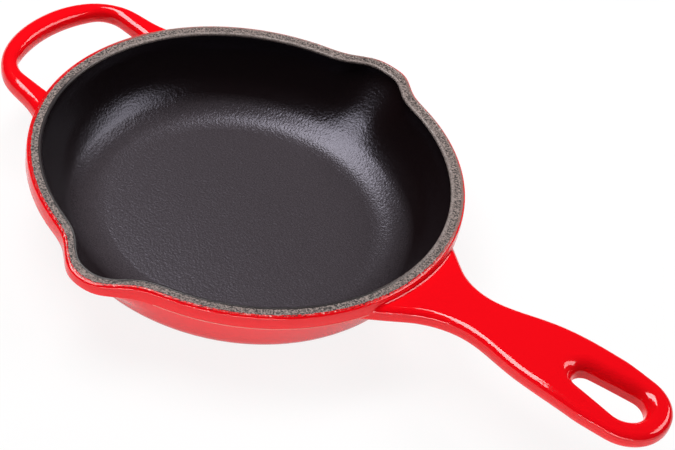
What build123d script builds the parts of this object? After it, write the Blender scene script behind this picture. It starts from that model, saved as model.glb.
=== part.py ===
from build123d import *
import os
from math import acos, atan2, cos, degrees, exp, hypot, log, log1p, sin, sqrt

# An enamelled cast-iron skillet with a long handle, a helper handle and two pouring lips.
# The pan and both handles are one iron casting. Everything else is a fired coat on it:
# glossy enamel outside and under the foot, satin enamel inside, bare ground coat on the rim.
# Frame: origin in the middle of the underside, +Z up, +X along the long handle,
# the pouring lips on +Y and -Y. Millimetres.

# The pan
pan_height = 44.0  # underside to rim
mouth_radius = 108.5  # inside of the rim, away from the lips
rim_width = 5.9  # flat land of the rim that carries no enamel
rim_round = 1.2  # rounding outside the land
collar_depth = 8.0  # thick band under the rim
collar_step = 2.8  # how far the band stands out over the wall below it
collar_crown = 0.4  # belly of the band's face
foot_radius = 81.5  # flat part of the underside
heel_round = 21.7  # from the underside into the wall
recess_radius = 56.0  # shallow hollow that keeps the pan from rocking
recess_depth = 0.6
floor_radius = 71.8  # flat part of the cooking surface
floor_thickness = 4.6
bowl_round = 34.0  # from the floor into the inner wall
neck_softness = 0.8  # how softly the sloping wall turns upright under the rim

# The pouring lips
lip_reach = 12.6  # how far a lip is drawn out
lip_half_angle = 8.1  # half its width, in degrees round the pan, at half its reach
lip_sharpness = 2.6  # 2 is a bell, more is a squarer lip
lip_span = 20.0  # half the angle over which the wall leaves its circle
lip_dip = 2.3  # how far the rim sinks at a lip
lip_dip_half = 15.0  # half the width of that dip
lip_underside = 0.8  # share of the reach that is left below the band
groove_start = 9.0  # height at which the groove of a lip fades into the inner wall

# The coats, as fired
outer_coat = 0.45
inner_coat = 0.35
rim_coat = 0.30

# The long handle
handle_length = 145.6  # from the band to the tip
handle_thickness = 10.4
handle_top_round = 3.4  # upper and lower edges
handle_under_round = 5.1
root_fillet = 2.0  # where it meets the band and the wall
root_depth = 20.0  # how far both handles run into the pan
root_drop = 9.0  # middle of the handle below the rim at its root
neck_drop = 4.8
grip_rise = 0.8  # middle of the handle above the rim at the grip
rise_end = 89.0  # band to where the handle has reached that height
neck_out = 34.4  # band to the narrowest place
neck_half_width = 14.6
flare_half_width = 24.0  # half width where the straight flare to the band begins
flare_slope = 0.8
flare_out = 8.6  # band to that place
grip_half_width = 23.9
palm_swell = 2.0  # how far its side bulges between the neck and the widest place
grip_back = 42.0  # tip to the widest place
tip_radius = 22.8
tip_start = 84.0  # half the angle of the tip's arc, in degrees
hole_end_bar = 13.2  # iron left beyond the hanging hole
hole_wide_radius = 9.9
hole_narrow_radius = 6.6
hole_centres = 23.5  # between the two ends of the hole
hole_top_round = 7.0  # the hole is dished from above
hole_under_round = 1.2

# The helper handle
loop_length = 39.3  # from the band to the far side of the bar
loop_thickness = 10.2
loop_outer_round = 4.0
loop_inner_round = 4.4
loop_root_drop = 5.0  # middle of the loop below the rim at the band
loop_bar_drop = 2.0
loop_outline = [(2.3, 18.9), (13.4, 40.1), (23.1, 47.1)]  # in from the bar, and out sideways
loop_root_half_width = 58.7
bar_width = 11.4
bar_bow = 80.0  # radius of the gentle curve of the bar
opening_half_width = 37.4
opening_corner = 13.2
opening_root_round = 9.6
opening_depth = 1.0  # how far the opening is cut into the band

collar_radius = mouth_radius + rim_width + rim_round
wall_top_radius = collar_radius - collar_step
wall_top = pan_height - collar_depth


def wall_of_outside(inset):
    """Where the heel's arc ends, and how the straight wall above it widens with height."""
    arc = heel_round - inset
    top_radius = wall_top_radius - inset
    away = hypot(top_radius - foot_radius, wall_top + inset - heel_round)
    turn = atan2(wall_top + inset - heel_round, top_radius - foot_radius) - acos(arc / away)
    end_radius = foot_radius + arc * cos(turn)
    end_level = heel_round + arc * sin(turn)
    return end_radius, end_level, (top_radius - end_radius) / (wall_top + inset - end_level)


def lip_point(radius, reach, angle):
    """A point of a horizontal section, at an angle in degrees from the middle of the +Y lip."""
    bulge = exp(-log(2) * abs(angle / lip_half_angle) ** lip_sharpness)
    if abs(angle) >= lip_span:
        bulge = 0
    return Vector(0, radius + reach * bulge).rotate(Axis.Z, angle)


def pan_section(level, radius, reach):
    """A horizontal section of the pan: a circle drawn out into two lips."""
    with BuildSketch(Plane.XY.offset(level)) as section:
        with BuildLine():
            steps = 10
            angles = [lip_span * (2 * step / steps - 1) for step in range(steps + 1)]
            points = [lip_point(radius, reach, angle) for angle in angles]
            ends = [Vector(-1, 0).rotate(Axis.Z, -lip_span), Vector(-1, 0).rotate(Axis.Z, lip_span)]
            if reach > 0:
                lip = Spline(*points, tangents=ends)
            else:
                lip = ThreePointArc(points[0], (0, radius), points[-1])
            start, end = lip @ 0, lip @ 1
            ThreePointArc(end, (-radius, 0), (end.X, -end.Y))
            mirror(lip, about=Plane.XZ)
            ThreePointArc((start.X, -start.Y), (radius, 0), start)
        make_face()
    return section.sketch.face()


def ease(share):
    """A smooth rise from 0 to 1."""
    share = min(max(share, 0), 1)
    return share * share * (3 - 2 * share)


def rim_level(x, drop):
    """Height of the rim, which sinks a little at the lips."""
    return pan_height - drop - lip_dip * exp(-log(2) * (x / lip_dip_half) ** 2)


def above_the_rim(drop):
    """All the space above the rim, lowered by a drop."""
    edge = collar_radius + lip_reach
    with BuildPart() as space:
        with BuildSketch(Plane.XZ.offset(-2 * edge)):
            with BuildLine():
                steps = 24
                across = [edge * (2 * step / steps - 1) for step in range(steps + 1)]
                top = Spline(*[(x, rim_level(x, drop)) for x in across])
                Polyline(top @ 1, (edge, 2 * pan_height), (-edge, 2 * pan_height), top @ 0)
            make_face()
        extrude(amount=4 * edge)
    return space.part


def pan_blank(inset, drop, edge_round):
    """The outside of the pan without its hollow, each surface set in by an inset."""
    end_radius, end_level, widening = wall_of_outside(inset)
    with BuildPart() as blank:
        with BuildSketch(Plane.XZ):
            with BuildLine():
                foot = Line((recess_radius, inset), (foot_radius, inset))
                turn = degrees(atan2(end_level - heel_round, end_radius - foot_radius))
                heel = CenterArc((foot_radius, heel_round), heel_round - inset, -90, turn + 90)
                hollow = inset + recess_depth
                slant = (recess_radius - recess_depth, hollow)
                Polyline(heel @ 1, (0, end_level), (0, hollow), slant, foot @ 0)
            make_face()
        revolve(axis=Axis.Z)
        wall = []
        for share in [step / 6 for step in range(7)]:
            rise = share * (wall_top + inset - end_level)
            reach = lip_reach * lip_underside * ease(share)
            wall.append(pan_section(end_level + rise, end_radius + widening * rise, reach))
        loft(sections=wall)
        band = []
        for share in (inset / collar_depth, 0.5, 1, 1.25):
            crown = collar_crown * (2 * share - 1) ** 2
            level = wall_top + share * collar_depth
            band.append(pan_section(level, collar_radius - inset - crown, lip_reach))
        loft(sections=band)
        add(above_the_rim(drop), mode=Mode.SUBTRACT)
        fillet(blank.faces().sort_by(Axis.Z)[-1].edges(), edge_round)
    return blank.part


def bowl_radius(level, grow):
    """Inside radius at a height: the bowl's arc, the sloping wall, then straight up to the rim."""
    end_radius, end_level, widening = wall_of_outside(0)
    slope = atan2(1, widening)
    arc = bowl_round + grow
    arc_level = floor_thickness + bowl_round
    tangent_level = arc_level - arc * cos(slope)
    if level < tangent_level:
        return floor_radius + sqrt(arc**2 - (arc_level - level) ** 2)
    sloping = floor_radius + arc * sin(slope) + widening * (level - tangent_level)
    mouth = mouth_radius + grow
    return mouth - neck_softness * log1p(exp((mouth - sloping) / neck_softness))


def hollow(grow):
    """The space inside the pan, its surface moved out into the iron by grow."""
    with BuildPart() as space:
        with BuildSketch(Plane.XZ):
            with BuildLine():
                low = floor_thickness - grow
                floor = Line((0, low), (floor_radius, low))
                centre = (floor_radius, floor_thickness + bowl_round)
                turn = degrees(acos((centre[1] - groove_start) / (bowl_round + grow)))
                arc = CenterArc(centre, bowl_round + grow, -90, turn)
                Polyline(arc @ 1, (0, groove_start), floor @ 0)
            make_face()
        revolve(axis=Axis.Z)
        groove = []
        for share in [step / 9 for step in range(11)]:
            level = groove_start + share * (pan_height - groove_start)
            reach = lip_reach * ease(share) ** 0.8
            groove.append(pan_section(level, bowl_radius(level, grow), reach))
        loft(sections=groove)
    return space.part


def set_in(points, ends, inset):
    """Points moved to the right of the line they follow, which has these directions at its ends."""
    before = [points[0] - ends[0]] + points[:-1]
    after = points[1:] + [points[-1] + ends[1]]
    along = [(late - early).normalized() for early, late in zip(before, after)]
    along[0], along[-1] = ends
    return [point + way.rotate(Axis.Z, -90) * inset for point, way in zip(points, along)]


def handle_blank(inset):
    """The long handle: its plan, cut to its side view, with rounded edges."""
    tip = collar_radius + handle_length
    root = collar_radius - root_depth
    neck = collar_radius + neck_out
    widest = tip - grip_back
    tip_edge = Vector(1, 0).rotate(Axis.Z, tip_start)
    flank = [
        Vector(collar_radius + flare_out, flare_half_width),
        Vector(neck, neck_half_width),
        Vector((neck + widest) / 2, (neck_half_width + grip_half_width) / 2 + palm_swell),
        Vector(widest, grip_half_width),
        Vector(tip - tip_radius, 0) + tip_edge * tip_radius,
    ]
    ends = [Vector(1, -flare_slope).normalized(), tip_edge.rotate(Axis.Z, -90)]
    with BuildSketch(Plane.XZ.offset(-grip_half_width - flare_half_width)) as side_view:
        with BuildLine():
            for half in (handle_thickness / 2 - inset, inset - handle_thickness / 2):
                edge = Spline(
                    (root, pan_height - root_drop + half),
                    (neck, pan_height - neck_drop + half),
                    (collar_radius + rise_end, pan_height + grip_rise + half),
                    (tip, pan_height + grip_rise + half),
                    tangents=[(1, 0), (1, 0)],
                )
                Line(edge @ 0, (root, pan_height - root_drop))
                Line(edge @ 1, (tip, pan_height + grip_rise))
        make_face()
    strip = extrude(side_view.sketch, amount=2 * (grip_half_width + flare_half_width), mode=Mode.PRIVATE)
    with BuildPart() as blank:
        with BuildSketch():
            with BuildLine():
                side = Spline(*set_in(flank, ends, inset), tangents=ends)
                start, end = side @ 0, side @ 1
                foot = (root, start.Y + flare_slope * (start.X - root))
                Line(foot, start)
                mirror(about=Plane.XZ)
                ThreePointArc(end, (tip - inset, 0), (end.X, -end.Y))
                Line(foot, (root, -foot[1]))
            make_face()
            wide_end = tip - hole_end_bar - hole_wide_radius
            with BuildSketch(mode=Mode.SUBTRACT):
                with Locations((wide_end, 0)):
                    Circle(hole_wide_radius + inset)
                with Locations((wide_end - hole_centres, 0)):
                    Circle(hole_narrow_radius + inset)
                make_hull()
        extrude(amount=2 * pan_height)
        add(strip, mode=Mode.INTERSECT)
        for side, outer, inner in (
            (-1, handle_top_round, hole_top_round),
            (0, handle_under_round, hole_under_round),
        ):
            face = blank.faces().sort_by(SortBy.AREA)[-2:].sort_by(Axis.Z)[side]
            fillet(face.inner_wires()[0].edges(), inner - inset)
            face = blank.faces().sort_by(SortBy.AREA)[-2:].sort_by(Axis.Z)[side]
            around = face.outer_wire().edges()
            fillet(around - around.filter_by_position(Axis.X, root - 0.1, root + 0.1), outer - inset)
    return blank.part


def loop_blank(inset):
    """The helper handle: a flat loop in plan, cut to its side view, with rounded edges."""
    root = collar_radius - root_depth
    bar = collar_radius + loop_length
    outline = [Vector(-bar, 0)]
    outline += [Vector(-bar + back, out) for back, out in loop_outline]
    outline += [Vector(-root, loop_root_half_width)]
    ends = [Vector(0, 1), Vector(0.8, 0.6)]
    with BuildSketch(Plane.XZ.offset(-loop_root_half_width)) as side_view:
        half = loop_thickness / 2 - inset
        near = pan_height - loop_root_drop
        far = pan_height - loop_bar_drop
        tilt = (far - near) / loop_length
        with BuildLine():
            inner, outer = near - tilt * root_depth, far
            Polyline(
                (-root, inner - half), (-root, inner + half),
                (-bar, outer + half), (-bar, outer - half), close=True,
            )
        make_face()
    strip = extrude(side_view.sketch, amount=2 * loop_root_half_width, mode=Mode.PRIVATE)
    with BuildPart() as blank:
        with BuildSketch():
            with BuildLine():
                side = Spline(*set_in(outline, ends, inset), tangents=ends)
                end = side @ 1
                mirror(about=Plane.XZ)
                Line(end, (end.X, -end.Y))
            make_face()
            with BuildSketch(mode=Mode.SUBTRACT) as opening:
                half = opening_half_width + inset
                crown = bar - bar_width + inset
                corner = crown - bar_bow + sqrt(bar_bow**2 - half**2)
                with BuildLine():
                    bow = ThreePointArc((-corner, half), (-crown, 0), (-corner, -half))
                    Polyline(bow @ 1, (-root, -half), (-root, half), bow @ 0)
                make_face()
                Circle(collar_radius - opening_depth - inset, mode=Mode.SUBTRACT)
                at_bar = opening.vertices().group_by(Axis.X)[0]
                at_band = opening.vertices().group_by(Axis.X)[-1]
                fillet(at_bar, opening_corner + inset)
                fillet(at_band, opening_root_round + inset)
        extrude(amount=2 * pan_height)
        add(strip, mode=Mode.INTERSECT)
        for side in (-1, 0):
            face = blank.faces().sort_by(SortBy.AREA)[-2:].sort_by(Axis.Z)[side]
            fillet(face.inner_wires()[0].edges(), loop_inner_round - inset)
            face = blank.faces().sort_by(SortBy.AREA)[-2:].sort_by(Axis.Z)[side]
            around = face.outer_wire().edges()
            at_root = around.filter_by_position(Axis.X, -root - 0.1, -root + 0.1)
            fillet(around - at_root, loop_outer_round - inset)
    return blank.part


def with_handles(pan, inset):
    """A pan blank with both handles on it, and fillets above and below the root of the long one."""
    handle = handle_blank(inset)
    loop = loop_blank(inset)
    with BuildPart() as blank:
        add(pan)
        add(handle)
        junction = blank.edges(Select.NEW).sort_by(Axis.Z)
        fillet(junction[-3:], root_fillet + inset)
        fillet(junction[:5], root_fillet + inset)
        add(loop)
    return blank.part


enamelled_pan = pan_blank(0, 0, rim_round)
bare_pan = pan_blank(outer_coat, rim_coat, rim_round - outer_coat)
cooking_space = hollow(0)
iron_hollow = hollow(inner_coat)

# The space over the flat land of the rim, and the space under the flat of the foot.
land_level = pan_height - lip_dip - 2 * rim_coat
land = pan_section(land_level, mouth_radius + rim_width, lip_reach)
over_land = extrude(land, amount=2 * collar_depth, mode=Mode.PRIVATE)
with BuildPart() as under_foot:
    Cylinder(foot_radius, 2 * (recess_depth + outer_coat), align=(Align.CENTER, Align.CENTER, Align.MIN))

# The casting: pan, band, lips and both handles poured in one piece of grey iron.
bare_outside = with_handles(bare_pan, outer_coat)
with BuildPart() as iron_casting:
    add(bare_outside)
    add(iron_hollow, mode=Mode.SUBTRACT)
iron_casting.part.label = "iron_casting"

# The satin coat of the cooking surface, from the floor up to the underside of the rim's coat.
with BuildPart() as interior_enamel:
    add(iron_hollow)
    add(bare_pan, mode=Mode.INTERSECT)
    add(cooking_space, mode=Mode.SUBTRACT)
interior_enamel.part.label = "interior_enamel"

# The ground coat that is left bare on the flat land of the rim.
with BuildPart() as rim_ground_coat:
    add(over_land)
    add(enamelled_pan, mode=Mode.INTERSECT)
    add([bare_pan, cooking_space], mode=Mode.SUBTRACT)
rim_ground_coat.part.label = "rim_ground_coat"

# The enamel under the foot, on which the skillet rests.
with BuildPart() as foot_enamel:
    add(under_foot.part)
    add(enamelled_pan, mode=Mode.INTERSECT)
    add(bare_pan, mode=Mode.SUBTRACT)
foot_enamel.part.label = "foot_enamel"

# The glossy enamel over the wall, the band, the lips and both handles.
enamelled_outside = with_handles(enamelled_pan, 0)
with BuildPart() as exterior_enamel:
    add(enamelled_outside)
    add([bare_outside, cooking_space, over_land, under_foot.part], mode=Mode.SUBTRACT)
exterior_enamel.part.label = "exterior_enamel"

os.makedirs("parts", exist_ok=True)
for piece in (iron_casting, interior_enamel, rim_ground_coat, foot_enamel, exterior_enamel):
    export_step(piece.part, f"parts/{piece.part.label}.step")
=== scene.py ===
from math import radians

import bpy
from mathutils import Matrix, Vector


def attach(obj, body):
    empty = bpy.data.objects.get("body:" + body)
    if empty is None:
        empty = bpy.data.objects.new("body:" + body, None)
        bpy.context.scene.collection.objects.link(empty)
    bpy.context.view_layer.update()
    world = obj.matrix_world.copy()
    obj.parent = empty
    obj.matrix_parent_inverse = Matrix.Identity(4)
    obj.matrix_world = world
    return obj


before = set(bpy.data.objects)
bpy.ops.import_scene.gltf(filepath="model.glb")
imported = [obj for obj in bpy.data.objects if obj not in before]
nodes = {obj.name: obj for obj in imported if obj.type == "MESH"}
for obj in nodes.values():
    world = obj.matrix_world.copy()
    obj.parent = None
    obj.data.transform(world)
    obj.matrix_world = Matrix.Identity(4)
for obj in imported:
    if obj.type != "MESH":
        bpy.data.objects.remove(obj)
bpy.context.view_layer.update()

# The coat of the outside and of the foot: red vitreous enamel, powdered glass that is melted
# onto the casting in a kiln, over a ground coat. The foot has the same coat and the same
# material, as it is one coat on the pan.


def colour(code):
    """A linear RGBA value from an sRGB hex code."""
    shares = [int(code[i : i + 2], 16) / 255 for i in (1, 3, 5)]
    linear = [s / 12.92 if s <= 0.04045 else ((s + 0.055) / 1.055) ** 2.4 for s in shares]
    return (*linear, 1)


def add_node(material, kind, sockets=None, **settings):
    """Add a node with its settings. A socket takes a value, or an output that is linked to it."""
    tree = material.node_tree
    node = tree.nodes.new(kind)
    for name, value in settings.items():
        setattr(node, name, value)
    for socket, value in (sockets or {}).items():
        if isinstance(value, bpy.types.NodeSocket):
            tree.links.new(value, node.inputs[socket])
        else:
            node.inputs[socket].default_value = value
    return node


# Fired glass gives a deep, even red with sharp reflections. They waver a little, because the
# skin of a sand casting swells and sinks under the coat.
enamel = bpy.data.materials.new("glossy_red_vitreous_enamel")
enamel.use_nodes = True
enamel.node_tree.nodes.clear()
swell_width = 7.69  # millimetres, from one swell of the casting to the next
place = add_node(enamel, "ShaderNodeTexCoord").outputs["Object"]
swell = add_node(
    enamel, "ShaderNodeTexNoise", {"Vector": place, "Scale": 1000 / swell_width, "Detail": 1}
)
bump = add_node(
    enamel,
    "ShaderNodeBump",
    {"Strength": 0.35, "Distance": 0.0002, "Height": swell.outputs["Fac"]},
)
shader = add_node(
    enamel,
    "ShaderNodeBsdfPrincipled",
    {
        "Base Color": colour("#f40614"),
        "Roughness": 0.09,
        "IOR": 1.5,
        "Normal": bump.outputs["Normal"],
    },
)
add_node(enamel, "ShaderNodeOutputMaterial", {"Surface": shader.outputs["BSDF"]})
for name in ("exterior_enamel", "foot_enamel"):
    nodes[name].material_slots[0].material = enamel

# The cooking surface: satin black enamel, sprayed and fired rough enough to hold oil. It
# covers the floor and the wall of the bowl up to the land of the rim.

# Satin enamel spreads each light into a soft arc with a fine orange peel in it. The flat bottom is
# painted grey up to where the wall rises, and the wall almost black: painted light on the floor and
# painted shade on the wall.
satin = bpy.data.materials.new("satin_black_interior_enamel")
satin.use_nodes = True
satin.node_tree.nodes.clear()
grey_until = 0.005  # metres above the floor
black_from = 0.013
grain_width = 0.667  # millimetres. Real grains are finer, and are drawn this coarse to show.
peel_width = 1.25  # millimetres, from one dimple to the next
place = add_node(satin, "ShaderNodeTexCoord").outputs["Object"]
height = add_node(satin, "ShaderNodeSeparateXYZ", {"Vector": place})
rise = add_node(
    satin,
    "ShaderNodeMapRange",
    {"Value": height.outputs["Z"], "From Min": grey_until, "From Max": black_from},
)
# Painted light and shade by height: grey on the flat bottom, near black on the wall.
painted_light_and_shade = add_node(satin, "ShaderNodeValToRGB", {"Fac": rise.outputs["Result"]})
painted_light_and_shade.color_ramp.elements[0].color = colour("#3e383c")
painted_light_and_shade.color_ramp.elements[1].color = colour("#140b0c")
grain = add_node(
    satin, "ShaderNodeTexNoise", {"Vector": place, "Scale": 1000 / grain_width, "Detail": 1}
)
speckle = add_node(
    satin,
    "ShaderNodeMapRange",
    {"Value": grain.outputs["Fac"], "From Min": 0.3, "From Max": 0.7, "To Min": 0.7, "To Max": 1.35},
)
tint = add_node(
    satin,
    "ShaderNodeVectorMath",
    {0: painted_light_and_shade.outputs["Color"], 1: speckle.outputs["Result"]},
    operation="MULTIPLY",
)
peel = add_node(
    satin, "ShaderNodeTexNoise", {"Vector": place, "Scale": 1000 / peel_width, "Detail": 2}
)
bump = add_node(
    satin,
    "ShaderNodeBump",
    {"Strength": 0.9, "Distance": 0.0002, "Height": peel.outputs["Fac"]},
)
shader = add_node(
    satin,
    "ShaderNodeBsdfPrincipled",
    {
        "Base Color": tint.outputs["Vector"],
        "Roughness": 0.25,
        "IOR": 1.5,
        "Specular Tint": colour("#e4e0f4"),
        "Normal": bump.outputs["Normal"],
    },
)
add_node(satin, "ShaderNodeOutputMaterial", {"Surface": shader.outputs["BSDF"]})
nodes["interior_enamel"].material_slots[0].material = satin

# The land of the rim: the flat top between the two coats. It has the ground coat alone, the
# first thin layer of enamel, which is fired straight onto the iron.

# With no gloss coat over it the ground coat is dry and gritty, and heat has browned it. Light
# and dark grit lie side by side, so it reads as grey-brown from further off.
ground = bpy.data.materials.new("bare_browned_ground_coat")
ground.use_nodes = True
ground.node_tree.nodes.clear()
grit_width = 1.053  # millimetres. Real grit is finer, and is drawn this coarse to show.
place = add_node(ground, "ShaderNodeTexCoord").outputs["Object"]
grit = add_node(
    ground,
    "ShaderNodeTexNoise",
    {"Vector": place, "Scale": 1000 / grit_width, "Detail": 3, "Roughness": 0.7},
)
shades = add_node(ground, "ShaderNodeValToRGB", {"Fac": grit.outputs["Fac"]})
shades.color_ramp.elements[0].position = 0.41
shades.color_ramp.elements[0].color = colour("#171110")
shades.color_ramp.elements[1].position = 0.61
shades.color_ramp.elements[1].color = colour("#a2918b")
bump = add_node(
    ground,
    "ShaderNodeBump",
    {"Strength": 0.8, "Distance": 0.0003, "Height": grit.outputs["Fac"]},
)
shader = add_node(
    ground,
    "ShaderNodeBsdfPrincipled",
    {
        "Base Color": shades.outputs["Color"],
        "Roughness": 0.55,
        "Normal": bump.outputs["Normal"],
    },
)
add_node(ground, "ShaderNodeOutputMaterial", {"Surface": shader.outputs["BSDF"]})
nodes["rim_ground_coat"].material_slots[0].material = ground

# The two edges of the land, each a low rounded bead of enamel. Outside, the red glaze stops in a
# ragged lip. Inside, the black coat is rounded over, and is painted pale at the back as a painted
# highlight. Both are fired onto the iron with the coats that they belong to.

# Thin glaze breaks up as it melts, so the red lip has dark nicks, and pale flecks in front that are
# partly painted highlights, glints of light along the ragged lip. It is plain red on the side of the
# helper handle, where no glints are painted, and browner towards the back.
lip = bpy.data.materials.new("thin_red_glaze_edge")
lip.use_nodes = True
lip.node_tree.nodes.clear()
nick_and_glint_width = 1.923  # millimetres, from one fleck to the next
plain_from, plain_until = -0.03, -0.06  # metres along the handles
browner_at_back_from, browner_at_back_until = 0.0, 0.05  # metres across the pan
place = add_node(lip, "ShaderNodeTexCoord").outputs["Object"]
nick_and_glint = add_node(
    lip,
    "ShaderNodeTexNoise",
    {"Vector": place, "Scale": 1000 / nick_and_glint_width, "Detail": 3, "Roughness": 0.6},
)
shades = add_node(lip, "ShaderNodeValToRGB", {"Fac": nick_and_glint.outputs["Fac"]})
stops = shades.color_ramp.elements
# The pale end of the ramp is partly a painted highlight, glints on the ragged lip.
stops[0].position = 0.33
stops[0].color = colour("#2c1110")
stops[1].position = 0.7
stops[1].color = colour("#f0c4bd")
stops.new(0.4).color = colour("#7a2420")
stops.new(0.46).color = colour("#d80a14")
stops.new(0.59).color = colour("#e01a22")
spot = add_node(lip, "ShaderNodeSeparateXYZ", {"Vector": place})
left = add_node(
    lip,
    "ShaderNodeMapRange",
    {"Value": spot.outputs["X"], "From Min": plain_from, "From Max": plain_until},
)
back = add_node(
    lip,
    "ShaderNodeMapRange",
    {"Value": spot.outputs["Y"], "From Min": browner_at_back_from, "From Max": browner_at_back_until},
)
plain = add_node(
    lip,
    "ShaderNodeMix",
    {"Factor": left.outputs["Result"], "A": shades.outputs["Color"], "B": colour("#d80a14")},
    data_type="RGBA",
)
browner_at_back = add_node(
    lip,
    "ShaderNodeMix",
    {"Factor": back.outputs["Result"], "A": plain.outputs["Result"], "B": colour("#8f736c")},
    data_type="RGBA",
)
shader = add_node(
    lip,
    "ShaderNodeBsdfPrincipled",
    {"Base Color": browner_at_back.outputs["Result"], "Roughness": 0.2},
)
add_node(lip, "ShaderNodeOutputMaterial", {"Surface": shader.outputs["BSDF"]})

# The inner edge is painted pale and gritty at the back, a painted highlight where its rounding
# catches the lights. In front the black coat wraps it.
painted_highlight = bpy.data.materials.new("painted_highlight_inner_edge_enamel")
painted_highlight.use_nodes = True
painted_highlight.node_tree.nodes.clear()
painted_highlight_grit_width = 0.909  # millimetres. Real grit is finer, and is drawn this coarse to show.
painted_highlight_until, black_from = 0.02, -0.03  # metres across the pan
place = add_node(painted_highlight, "ShaderNodeTexCoord").outputs["Object"]
grit = add_node(
    painted_highlight,
    "ShaderNodeTexNoise",
    {"Vector": place, "Scale": 1000 / painted_highlight_grit_width, "Detail": 3, "Roughness": 0.7},
)
shades = add_node(painted_highlight, "ShaderNodeValToRGB", {"Fac": grit.outputs["Fac"]})
shades.color_ramp.elements[0].position = 0.36
shades.color_ramp.elements[0].color = colour("#5c504d")
shades.color_ramp.elements[1].position = 0.62
shades.color_ramp.elements[1].color = colour("#ab9d98")
# The pale grit at the back is a painted highlight; the front is black.
spot = add_node(painted_highlight, "ShaderNodeSeparateXYZ", {"Vector": place})
front = add_node(
    painted_highlight,
    "ShaderNodeMapRange",
    {"Value": spot.outputs["Y"], "From Min": painted_highlight_until, "From Max": black_from},
)
black = add_node(
    painted_highlight,
    "ShaderNodeMix",
    {"Factor": front.outputs["Result"], "A": shades.outputs["Color"], "B": colour("#221a1c")},
    data_type="RGBA",
)
shader = add_node(
    painted_highlight,
    "ShaderNodeBsdfPrincipled",
    {"Base Color": black.outputs["Result"], "Roughness": 0.4},
)
add_node(painted_highlight, "ShaderNodeOutputMaterial", {"Surface": shader.outputs["BSDF"]})

# The edges are taken off a merged copy of the land, which keeps the dip at both lips.
weld = 0.00002  # metres, the distance within which corners are merged
upward = 0.9  # height of the normal of a face that counts as the flat top
bpy.ops.object.select_all(action="DESELECT")
nodes["rim_ground_coat"].select_set(True)
bpy.context.view_layer.objects.active = nodes["rim_ground_coat"]
bpy.ops.object.duplicate()
land = bpy.context.object
bpy.ops.object.mode_set(mode="EDIT")
bpy.ops.mesh.select_all(action="SELECT")
bpy.ops.mesh.remove_doubles(threshold=weld)
bpy.ops.mesh.select_mode(type="FACE")
bpy.ops.mesh.select_all(action="DESELECT")
bpy.ops.object.mode_set(mode="OBJECT")
for face in land.data.polygons:
    face.select = face.normal.z > upward
bpy.ops.object.mode_set(mode="EDIT")
bpy.ops.mesh.region_to_loop()
bpy.ops.mesh.duplicate()
bpy.ops.mesh.separate(type="SELECTED")
bpy.ops.object.mode_set(mode="OBJECT")
edges = [piece for piece in bpy.context.selected_objects if piece != land][0]
bpy.ops.object.select_all(action="DESELECT")
land.select_set(True)
bpy.ops.object.delete()
edges.select_set(True)
bpy.context.view_layer.objects.active = edges
bpy.ops.object.mode_set(mode="EDIT")
bpy.ops.mesh.separate(type="LOOSE")
bpy.ops.object.mode_set(mode="OBJECT")
inner_edge, outer_edge = sorted(bpy.context.selected_objects, key=lambda loop: loop.dimensions.x)

# Each edge is spread or drawn in from the middle of the pan until it lies on the land, sunk into it
# and given a thin round section. Fine noise then makes it ragged, the red lip more than the inner
# edge.
bead_radius = 0.0011
bead_cuts = 7  # new points between two corners of an edge
ragged = bpy.data.textures.new("ragged", "CLOUDS")
ragged.noise_scale = 0.0013
for piece, name, finish, spread, sink, raggedness in (
    (inner_edge, "painted_highlight_inner_edge", painted_highlight, 1.0023, 0.0008, 0.0003),
    (outer_edge, "ragged_glaze_lip", lip, 0.9948, 0.00085, 0.0006),
):
    bpy.ops.object.select_all(action="DESELECT")
    piece.select_set(True)
    bpy.context.view_layer.objects.active = piece
    piece.name = name
    bpy.ops.object.mode_set(mode="EDIT")
    bpy.ops.mesh.select_all(action="SELECT")
    bpy.ops.transform.resize(value=(spread, spread, 1), center_override=(0, 0, 0))
    bpy.ops.transform.translate(value=(0, 0, -sink))
    bpy.ops.object.mode_set(mode="OBJECT")
    bpy.ops.object.convert(target="CURVE")
    bpy.ops.object.mode_set(mode="EDIT")
    bpy.ops.curve.select_all(action="SELECT")
    bpy.ops.curve.subdivide(number_cuts=bead_cuts)
    bpy.ops.object.mode_set(mode="OBJECT")
    piece.data.bevel_depth = bead_radius
    piece.data.bevel_resolution = 2
    bpy.ops.object.convert(target="MESH")
    wobble = piece.modifiers.new("wobble", "DISPLACE")
    wobble.texture = ragged
    wobble.strength = raggedness
    bpy.ops.object.modifier_apply(modifier="wobble")
    bpy.ops.object.shade_smooth()
    piece.data.materials.clear()
    piece.data.materials.append(finish)
    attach(piece, "root")

# The lower edge of the thick band under the rim: a fine bead of red enamel along the sharp edge of
# the casting. It is fired on with the coat, and it stops where the band turns out into the two lips.
band_edge_height = 0.0362
band_edge_radius = 0.11502
glaze_radius = 0.00042
lips_start = 0.1125  # metres across the pan, on both sides
glaze_waviness = 0.0003

# The bead is painted pale, a painted highlight, and is as glossy as the full coat, so that the edge
# shows as one fine, light line.
painted_band_highlight = bpy.data.materials.new("painted_band_highlight_glaze")
painted_band_highlight.use_nodes = True
painted_band_highlight.node_tree.nodes.clear()
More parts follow.
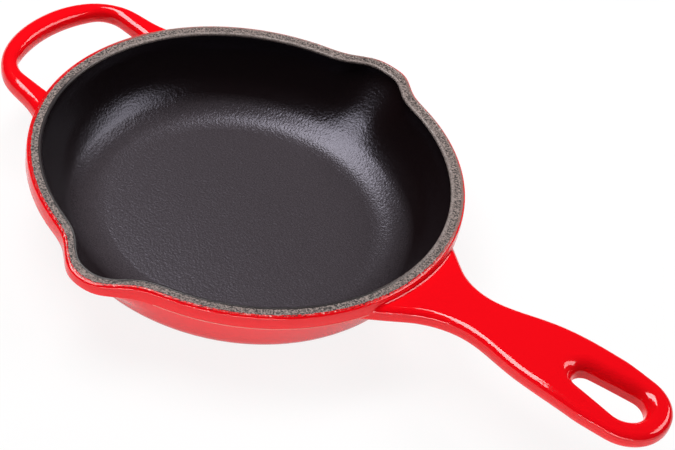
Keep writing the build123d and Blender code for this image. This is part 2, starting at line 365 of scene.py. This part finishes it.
# The pale pink colour is a painted highlight along the edge.
shader = add_node(
    painted_band_highlight,
    "ShaderNodeBsdfPrincipled",
    {"Base Color": colour("#ff847c"), "Roughness": 0.15},
)
add_node(painted_band_highlight, "ShaderNodeOutputMaterial", {"Surface": shader.outputs["BSDF"]})
bpy.ops.object.select_all(action="DESELECT")
bpy.ops.mesh.primitive_torus_add(
    location=(0, 0, band_edge_height),
    major_segments=480,
    minor_segments=10,
    major_radius=band_edge_radius,
    minor_radius=glaze_radius,
)
edge = bpy.context.object
edge.name = "band_edge_with_painted_highlight"
bpy.ops.object.transform_apply(location=True)
bpy.ops.object.mode_set(mode="EDIT")
bpy.ops.mesh.select_all(action="DESELECT")
bpy.ops.object.mode_set(mode="OBJECT")
for corner in edge.data.vertices:
    corner.select = abs(corner.co.y) > lips_start
bpy.ops.object.mode_set(mode="EDIT")
bpy.ops.mesh.select_mode(type="VERT")
bpy.ops.mesh.delete(type="VERT")
bpy.ops.mesh.select_all(action="SELECT")
bpy.ops.mesh.fill_holes(sides=0)
bpy.ops.object.mode_set(mode="OBJECT")
wave = bpy.data.textures.new("wave", "CLOUDS")
wave.noise_scale = 0.004
wobble = edge.modifiers.new("wobble", "DISPLACE")
wobble.texture = wave
wobble.strength = glaze_waviness
bpy.ops.object.modifier_apply(modifier="wobble")
bpy.ops.object.shade_smooth()
edge.data.materials.append(painted_band_highlight)
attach(edge, "root")

# The casting: pan, band, lips and both handles in one pour of grey iron, shot blasted before
# it is coated. The coats hide all of it.

# Shot leaves bare iron an even, dull grey with no sharp reflection.
iron = bpy.data.materials.new("shot_blasted_grey_iron")
iron.use_nodes = True
iron.node_tree.nodes.clear()
shader = add_node(
    iron,
    "ShaderNodeBsdfPrincipled",
    {"Base Color": colour("#5a5a5c"), "Metallic": 1.0, "Roughness": 0.55},
)
add_node(iron, "ShaderNodeOutputMaterial", {"Surface": shader.outputs["BSDF"]})
nodes["iron_casting"].material_slots[0].material = iron

# The floor: a wide sheet of matt white board on which the skillet stands. The camera sees it
# as mostly plain white and the enamel reflects it as half lit, and the rest of it is the lit
# board, which keeps a soft shadow.
board = bpy.data.materials.new("white_board")
board.use_nodes = True
board.node_tree.nodes.clear()
glow_in_reflections = 0.45
glow_to_the_camera = 0.88
matt = add_node(
    board,
    "ShaderNodeBsdfPrincipled",
    {"Base Color": colour("#fafafa"), "Roughness": 0.9},
)
glow = add_node(board, "ShaderNodeEmission", {"Color": (1, 1, 1, 1), "Strength": 1})
ray = add_node(board, "ShaderNodeLightPath")
reflected = add_node(
    board,
    "ShaderNodeMath",
    {0: ray.outputs["Is Glossy Ray"], 1: glow_in_reflections},
    operation="MULTIPLY",
)
share = add_node(
    board,
    "ShaderNodeMath",
    {0: ray.outputs["Is Camera Ray"], 1: glow_to_the_camera, 2: reflected.outputs["Value"]},
    operation="MULTIPLY_ADD",
)
blend = add_node(
    board,
    "ShaderNodeMixShader",
    {"Fac": share.outputs["Value"], 1: matt.outputs["BSDF"], 2: glow.outputs["Emission"]},
)
add_node(board, "ShaderNodeOutputMaterial", {"Surface": blend.outputs["Shader"]})
bpy.ops.mesh.primitive_plane_add(size=30)
floor = bpy.context.object
floor.name = "floor"
floor.data.materials.append(board)

# The lights: a softbox on the right, one high up on the left, and a long thin strip low in
# front, which lights the side of the pan and can't reach into the bowl. The room is nearly
# dark.
lamp_distance = 1.3
for name, turn, rise, width, depth, power in (
    ("right_softbox", 52, 42, 1.0, 0.4, 7),
    ("left_softbox", 178, 66, 1.1, 0.45, 17),
    ("front_strip", -60, 1.3, 1.6, 0.06, 8),
):
    away = Vector((lamp_distance, 0, 0))
    away.rotate(Matrix.Rotation(-radians(rise), 3, "Y"))
    away.rotate(Matrix.Rotation(radians(turn), 3, "Z"))
    bpy.ops.object.light_add(type="AREA", location=away)
    lamp = bpy.context.object
    lamp.name = name
    lamp.rotation_euler = away.to_track_quat("Z", "Y").to_euler()
    lamp.data.shape = "RECTANGLE"
    lamp.data.size = width
    lamp.data.size_y = depth
    lamp.data.energy = power
world = bpy.data.worlds.new("grey_room")
bpy.context.scene.world = world
world.use_nodes = True
room = world.node_tree.nodes["Background"]
room.inputs["Color"].default_value = (1, 1, 1, 1)
room.inputs["Strength"].default_value = 0.03

# The camera: a long lens, above the pan and to the side of one lip, so that the long handle
# comes towards it. It is rolled a little.
aim = Vector((0.0623, -0.0033, 0.044))
azimuth, elevation, roll = radians(-60.2), radians(41.32), radians(12.87)
camera_distance = 1.072
outward = Vector((1, 0, 0))
outward.rotate(Matrix.Rotation(-elevation, 3, "Y"))
outward.rotate(Matrix.Rotation(azimuth, 3, "Z"))
bpy.ops.object.camera_add(location=aim + camera_distance * outward)
camera = bpy.context.object
level = outward.to_track_quat("Z", "Y").to_matrix()
camera.rotation_euler = (level @ Matrix.Rotation(roll, 3, "Z")).to_euler()
camera.data.lens = 112
camera.data.sensor_width = 36
bpy.context.scene.camera = camera
bpy.context.scene.view_settings.view_transform = "Standard"
